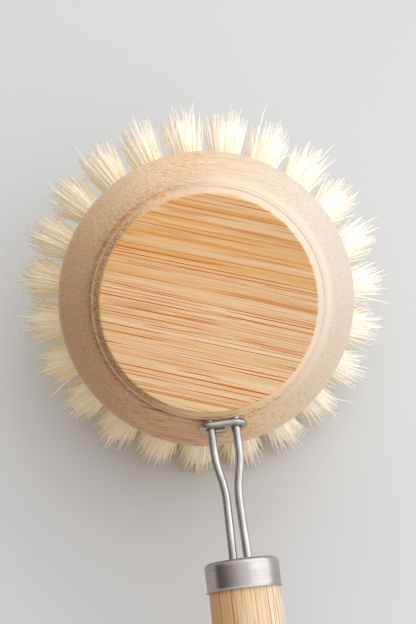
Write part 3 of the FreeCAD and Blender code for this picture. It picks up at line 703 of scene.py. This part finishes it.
metals = {name: metal_finish(name, **look) for name, look in METALS.items()}
give_finish("wire_fork", metals["fork_wire"])
give_finish("lock_ring", metals["ring_wire"])
give_finish("ferrule", metals["ferrule_steel"])
for node in frame["nodes"]:
    if node.startswith("anchor"):
        give_finish(node, metals["staple_wire"])

# %% [markdown]
# ## Fibre tufts
# Each tuft is a bundle of plant fibres, folded double and stapled into its hole. Blender's hair system
# would grow them, but its strands are not mesh and are lost on export. Here each fibre is a thin
# four-sided tube with its own length, lean and bend. One tuft's fibres are laid out together as arrays,
# which is quick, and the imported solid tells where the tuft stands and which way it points.

# %% Find where a tuft stands
def tuft_line(node):
    """Where a tuft leaves the wood, which way it points and how long it is, from its solid."""
    into_head = head_axes.inverted()
    solid = frame["nodes"][node].data
    points = np.array([into_head @ vertex.co for vertex in solid.vertices])
    root = points[points[:, 2] > 0].mean(axis=0)
    tip = points[points[:, 2] < points[:, 2].min() / 2].mean(axis=0)
    along = (tip - root) / np.linalg.norm(tip - root)
    mouth = root - along * root[2] / along[2]
    return mouth, along, ((points - mouth) @ along).max()


tuft_nodes = sorted(node for node in frame["nodes"] if node.startswith("tuft_"))
print("first tuft is", round(tuft_line(tuft_nodes[0])[2] / MM, 1), "mm long")

# %% [markdown]
# In its hole a bundle is packed evenly. Places drawn at random would clump, so the fibres follow the
# spiral of a sunflower: each turns by the golden angle from the last one and stands a little further
# out. Towards the tip the bundle fans out, every fibre bends its own way, a few of them stray, and each
# is trimmed a little short.

# %% Lay one tuft's fibres
FIBRES_PER_TUFT = 230
FIBRE_STEPS = 6
FIBRE_RADIUS = 0.125 * MM
FIBRE_RADIUS_SHARES = (0.8, 1.15)
TIP_TAPER = 0.3
ROOT_RADIUS = 1.9 * MM
ROOT_DEPTH = 2.5 * MM
TIP_SPREAD = 2.4
TRIM_ROUGHNESS = 0.9 * MM
BEND = 0.55 * MM
STRAY_SHARE, STRAY_BEND = 0.05, 2.2 * MM
GOLDEN_TURN = math.pi * (3 - math.sqrt(5))
TURN_JITTER = 0.3
PARALLEL = 1e-6


def lay_fibres(mouth, along, length, dice):
    """Centre lines, radii and tones of a tuft's fibres in the head's axes, and two ways across it."""
    side = np.cross(along, (0.0, 0.0, 1.0))
    lean = np.linalg.norm(side)
    side = side / lean if lean > PARALLEL else np.array((1.0, 0.0, 0.0))
    other = np.cross(along, side)
    count = FIBRES_PER_TUFT
    spot = np.arange(count) + 0.5
    away = ROOT_RADIUS * np.sqrt(spot / count)
    turn = spot * GOLDEN_TURN + dice.uniform(-TURN_JITTER, TURN_JITTER, count)
    root = away[:, None] * np.stack([np.cos(turn), np.sin(turn)], axis=1)
    bend = dice.normal(0, BEND, (count, 2))
    stray = dice.random(count) < STRAY_SHARE
    bend[stray] = dice.normal(0, STRAY_BEND, (stray.sum(), 2))
    reach = length - np.abs(dice.normal(0, TRIM_ROUGHNESS, count))
    run = np.linspace(0, 1, FIBRE_STEPS + 1)
    depth = -ROOT_DEPTH + (reach[:, None] + ROOT_DEPTH) * run
    rise = np.clip(depth / length, 0, None)[:, :, None]
    offset = root[:, None, :] * (1 + (TIP_SPREAD - 1) * rise) + bend[:, None, :] * rise ** 2
    lines = mouth + depth[:, :, None] * along + offset[:, :, :1] * side + offset[:, :, 1:] * other
    taper = 1 - TIP_TAPER * run ** 2
    thickness = FIBRE_RADIUS * dice.uniform(*FIBRE_RADIUS_SHARES, count)[:, None] * taper
    return lines, thickness, dice.random(count), (side, other)


print(FIBRES_PER_TUFT, "fibres in a tuft, each about", 2 * FIBRE_RADIUS / MM, "mm thick")

# %% [markdown]
# The tufts nearest the handle carry the brush, so their fibres end at the floor. A fibre that would
# pass through it is pulled back along its own length by as much as it overshoots. Inside, a real bundle
# is packed full. More fibres could fill it, at a cost in faces that nobody sees, so a ribbed core
# stands in for the hidden ones.

# %% Keep fibres off the floor and fill the tuft
LEAST_SLOPE = 0.2
CORE_SHARE = 0.86
CORE_SINK = 4.0 * MM
CORE_SIDES = 36
CORE_STEPS = 5
RIB_SHARES = (0.84, 1.0)
head_turn = np.array(head_axes.to_3x3())
head_origin = np.array(head_axes.translation)


def clear_of_floor(lines, along):
    """Shortens fibres that would end under the floor."""
    down = head_turn @ along
    tips = lines[:, -1] @ head_turn.T + head_origin
    over = np.clip(FIBRE_RADIUS * 2 - tips[:, 2], 0, None) / max(-down[2], LEAST_SLOPE)
    run = np.linspace(0, 1, FIBRE_STEPS + 1)
    return lines - over[:, None, None] * run[None, :, None] * along


def bundle_core(mouth, along, length, across, dice):
    """A ribbed core inside a tuft: its rings of points and a tone for each rib."""
    turn = np.arange(CORE_SIDES) * 2 * math.pi / CORE_SIDES
    rib = dice.uniform(*RIB_SHARES, CORE_SIDES)
    depth = np.linspace(-ROOT_DEPTH, length - CORE_SINK, CORE_STEPS + 1)
    wide = CORE_SHARE * ROOT_RADIUS * (1 + (TIP_SPREAD - 1) * np.clip(depth / length, 0, None))
    outline = np.cos(turn)[:, None] * across[0] + np.sin(turn)[:, None] * across[1]
    rings = mouth + depth[:, None, None] * along + (wide[:, None] * rib)[:, :, None] * outline
    return rings, dice.random(CORE_SIDES)


print("core has", CORE_SIDES, "ribs")

# %% [markdown]
# A mesh is a list of points and a list of faces that name them by number. Curves with a bevel would
# make tubes too, but there are more than ten thousand fibres. Numbering the points of all tubes as one
# block of arrays lets each face find its neighbours by shifting the block.

# %% Weave fibres and core into one mesh
FIBRE_SIDES = 4


def tube_faces(index):
    """Four-cornered faces between neighbouring rings of points, from their numbers."""
    after = np.roll(index, -1, axis=-1)
    corners = [index[..., :-1, :], after[..., :-1, :], after[..., 1:, :], index[..., 1:, :]]
    return np.stack(corners, axis=-1).reshape(-1, 4)


def carry(mesh, name, values):
    """Stores one number per point on the mesh, for the finish to read."""
    attribute = mesh.attributes.new(name, "FLOAT", "POINT")
    attribute.data.foreach_set("value", values.astype(np.float32))


def weave_mesh(name, lines, thickness, tones, across, core):
    """One mesh of closed tubes round a core, with each fibre's tone and each point's way along it."""
    count, rings = thickness.shape
    corner = np.arange(FIBRE_SIDES) * 2 * math.pi / FIBRE_SIDES
    outline = np.cos(corner)[:, None] * across[0] + np.sin(corner)[:, None] * across[1]
    points = lines[:, :, None, :] + thickness[:, :, None, None] * outline
    core_rings, core_tones = core
    points = np.concatenate([points.reshape(-1, 3), core_rings.reshape(-1, 3)])
    points = points @ head_turn.T + head_origin
    fibre_points = count * rings * FIBRE_SIDES
    index = np.arange(fibre_points).reshape(count, rings, FIBRE_SIDES)
    hoop = np.arange(fibre_points, len(points)).reshape(CORE_STEPS + 1, CORE_SIDES)
    around = np.concatenate([tube_faces(index), tube_faces(hoop)])
    fibre_ends = np.concatenate([index[:, 0, ::-1], index[:, -1]])
    core_ends = [hoop[0, ::-1].tolist(), hoop[-1].tolist()]
    faces = around.tolist() + fibre_ends.tolist() + core_ends
    mesh = bpy.data.meshes.new(name)
    mesh.from_pydata(points.tolist(), [], faces)
    mesh.polygons.foreach_set("use_smooth", np.arange(len(faces)) < len(around))
    fibre_tones = np.repeat(tones, rings * FIBRE_SIDES)
    carry(mesh, "fibre_tone", np.concatenate([fibre_tones, np.tile(core_tones, CORE_STEPS + 1)]))
    along_fibre = np.tile(np.repeat(np.linspace(0, 1, rings), FIBRE_SIDES), count)
    along_core = np.repeat(np.linspace(0, 1, CORE_STEPS + 1), CORE_SIDES)
    carry(mesh, "fibre_run", np.concatenate([along_fibre, along_core]))
    mesh.update()
    return mesh


print("a tuft has", FIBRES_PER_TUFT * (FIBRE_STEPS + 1) * FIBRE_SIDES, "points on its fibres")

# %% [markdown]
# The fibres are cream, golden near the wood and whiter at their tips, and each has its own tone, which
# the mesh carries as an attribute of its points. Light passes through real fibres, so a bundle never
# looks dark inside. Subsurface scattering turns tubes as thin as these grey, so a faint golden glow and
# a soft sheen stand in for it.

# %% Finish the fibres
FIBRE_CREAM, FIBRE_WHITE, FIBRE_ROOT_SHADE = srgb(253, 245, 228), srgb(255, 254, 251), srgb(246, 222, 170)
ROOT_SHADE_EDGES, ROOT_SHADE_SHARE = (0.05, 0.75), 0.75
FAN_REACH = 34.0
FIBRE_LIGHT_TINTS = {"Brown": (0.97, 0.94, 0.86, 1.0), "Middle": (1.0, 0.99, 0.97, 1.0), "Pale": WHITE}
FIBRE_ROUGHNESSES = (0.5, 0.7)
FIBRE_SHEEN = 0.35
FIBRE_GLOW, FIBRE_GLOW_COLOUR = 0.10, srgb(252, 210, 130)

fibre_finish, graph, shader = new_finish("fibre")
tone = graph.node("ShaderNodeAttribute", attribute_name="fibre_tone").outputs["Fac"]
run = graph.node("ShaderNodeAttribute", attribute_name="fibre_run").outputs["Fac"]
cream = graph.mix(tone, FIBRE_CREAM, FIBRE_WHITE)
# Painted shade: near the wood, deep in the bundle, the fibres turn darker and golden.
colour = graph.mix(graph.remap(run, *ROOT_SHADE_EDGES, ROOT_SHADE_SHARE, 0.0, smooth=True), cream, FIBRE_ROOT_SHADE)
# Painted light and shade: the tufts are more golden on the side away from the lamp and white towards it.
way = graph.vector("DOT_PRODUCT", graph.place_in(head_grain_axes), towards(LIT_SIDE_ANGLE), result=1)
light_tint = use_group(graph, "light_side_tint", Way=way, Reach=FAN_REACH, **FIBRE_LIGHT_TINTS)["Tint"]
graph.feed(shader["Base Color"], graph.vector("MULTIPLY", colour, light_tint))
graph.feed(shader["Roughness"], graph.remap(tone, 0.0, 1.0, *FIBRE_ROUGHNESSES))
shader["Sheen Weight"].default_value = FIBRE_SHEEN
shader["Emission Color"].default_value = FIBRE_GLOW_COLOUR
shader["Emission Strength"].default_value = FIBRE_GLOW
print("fibres glow at", FIBRE_GLOW)

# %% [markdown]
# Each bundle takes the place of its plain solid and rides on the head, so a joint moves it as it moved
# the solid. All tufts could be one object, but a real head is filled hole by hole, and single bundles
# can be hidden or swapped. Each tuft's own number seeds its random draws, so every run gives the same
# bristles.

# %% Plant the tufts
for seed, node in enumerate(tuft_nodes):
    mouth, along, length = tuft_line(node)
    dice = np.random.default_rng(seed)
    lines, thickness, tones, across = lay_fibres(mouth, along, length, dice)
    lines = clear_of_floor(lines, along)
    core = bundle_core(mouth, along, length, across, dice)
    mesh = weave_mesh(node.replace("tuft", "fibres"), lines, thickness, tones, across, core)
    mesh.materials.append(fibre_finish)
    bundle = add_to_scene(mesh.name, mesh)
    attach(bundle, "brush_head")
    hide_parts(node)
print(len(tuft_nodes), "tufts of", FIBRES_PER_TUFT, "fibres")

# %% [markdown]
# ## Floor
# The brush lies on a plain pale floor, which catches its soft shadow. A curved backdrop would do as
# well, but seen from above only the flat part shows, so one large face is enough.

# %% Lay the floor
FLOOR_HALF = 3.0
FLOOR_DROP = 0.1 * MM
FLOOR_PALE = srgb(207, 207, 207)
FLOOR_ROUGHNESS = 0.6
FLOOR_CORNERS = ((-1, -1), (1, -1), (1, 1), (-1, 1))

floor_mesh = bpy.data.meshes.new("floor")
corners = [(x * FLOOR_HALF, y * FLOOR_HALF, -FLOOR_DROP) for x, y in FLOOR_CORNERS]
floor_mesh.from_pydata(corners, [], [(0, 1, 2, 3)])
floor_finish, graph, shader = new_finish("floor_pale")
graph.feed(shader["Base Color"], FLOOR_PALE)
graph.feed(shader["Roughness"], FLOOR_ROUGHNESS)
floor_mesh.materials.append(floor_finish)
floor = add_to_scene("floor", floor_mesh)
print("floor is", 2 * FLOOR_HALF, "m wide")

# %% [markdown]
# ## Light
# The surroundings are bright towards the upper right of the picture, and dimmer and warmer towards the
# left. That difference draws the round of the flanks and the dark edge on the metal. A panorama picture
# could light the brush, but a plain gradient on the world says the same in a few numbers that can be
# read and changed.

# %% Set the surroundings
LIGHT_FROM = Vector((-0.34, 0.85, 0.40))
LIGHT_REACH = 0.85
DIM_SIDE, BRIGHT_SIDE = (0.10, 0.07, 0.045, 1.0), (1.34, 1.345, 1.35, 1.0)

world = bpy.data.worlds.new("surroundings")
world.use_nodes = True
graph = Graph(world.node_tree)
direction = graph.node("ShaderNodeTexCoord").outputs["Generated"]
lightwards = graph.vector("DOT_PRODUCT", direction, LIGHT_FROM.normalized(), result=1)
lightwards = graph.remap(lightwards, -LIGHT_REACH, LIGHT_REACH, smooth=True)
sky = graph.mix(lightwards, DIM_SIDE, BRIGHT_SIDE)
graph.feed(world.node_tree.nodes["Background"].inputs["Color"], sky)
bpy.context.scene.world = world
print("surroundings are", round(BRIGHT_SIDE[0] / DIM_SIDE[0], 1), "times as bright on one side")

# %% [markdown]
# One broad lamp on the same side adds a soft shadow. A spot lamp could stand there too, but its small
# source gives the shadow a hard edge. The size of a wide area lamp softens it.

# %% Set the lamp
LAMP_SIDE = 1.8
LAMP_POWER = 9.0
LAMP_COLOUR = (0.89, 0.95, 1.0)
LAMP_OFFSET = Vector((-0.38, 0.92, 0.66))

lamp_data = bpy.data.lights.new("broad_lamp", "AREA")
lamp_data.size = LAMP_SIDE
lamp_data.energy = LAMP_POWER
lamp_data.color = LAMP_COLOUR
lamp = add_to_scene("broad_lamp", lamp_data)
lamp.location = head_middle + LAMP_OFFSET
lamp.rotation_euler = (head_middle - lamp.location).to_track_quat("-Z", "Y").to_euler()
bpy.context.scene.view_settings.view_transform = "Standard"
print("lamp stands", round(LAMP_OFFSET.length, 2), "m away")
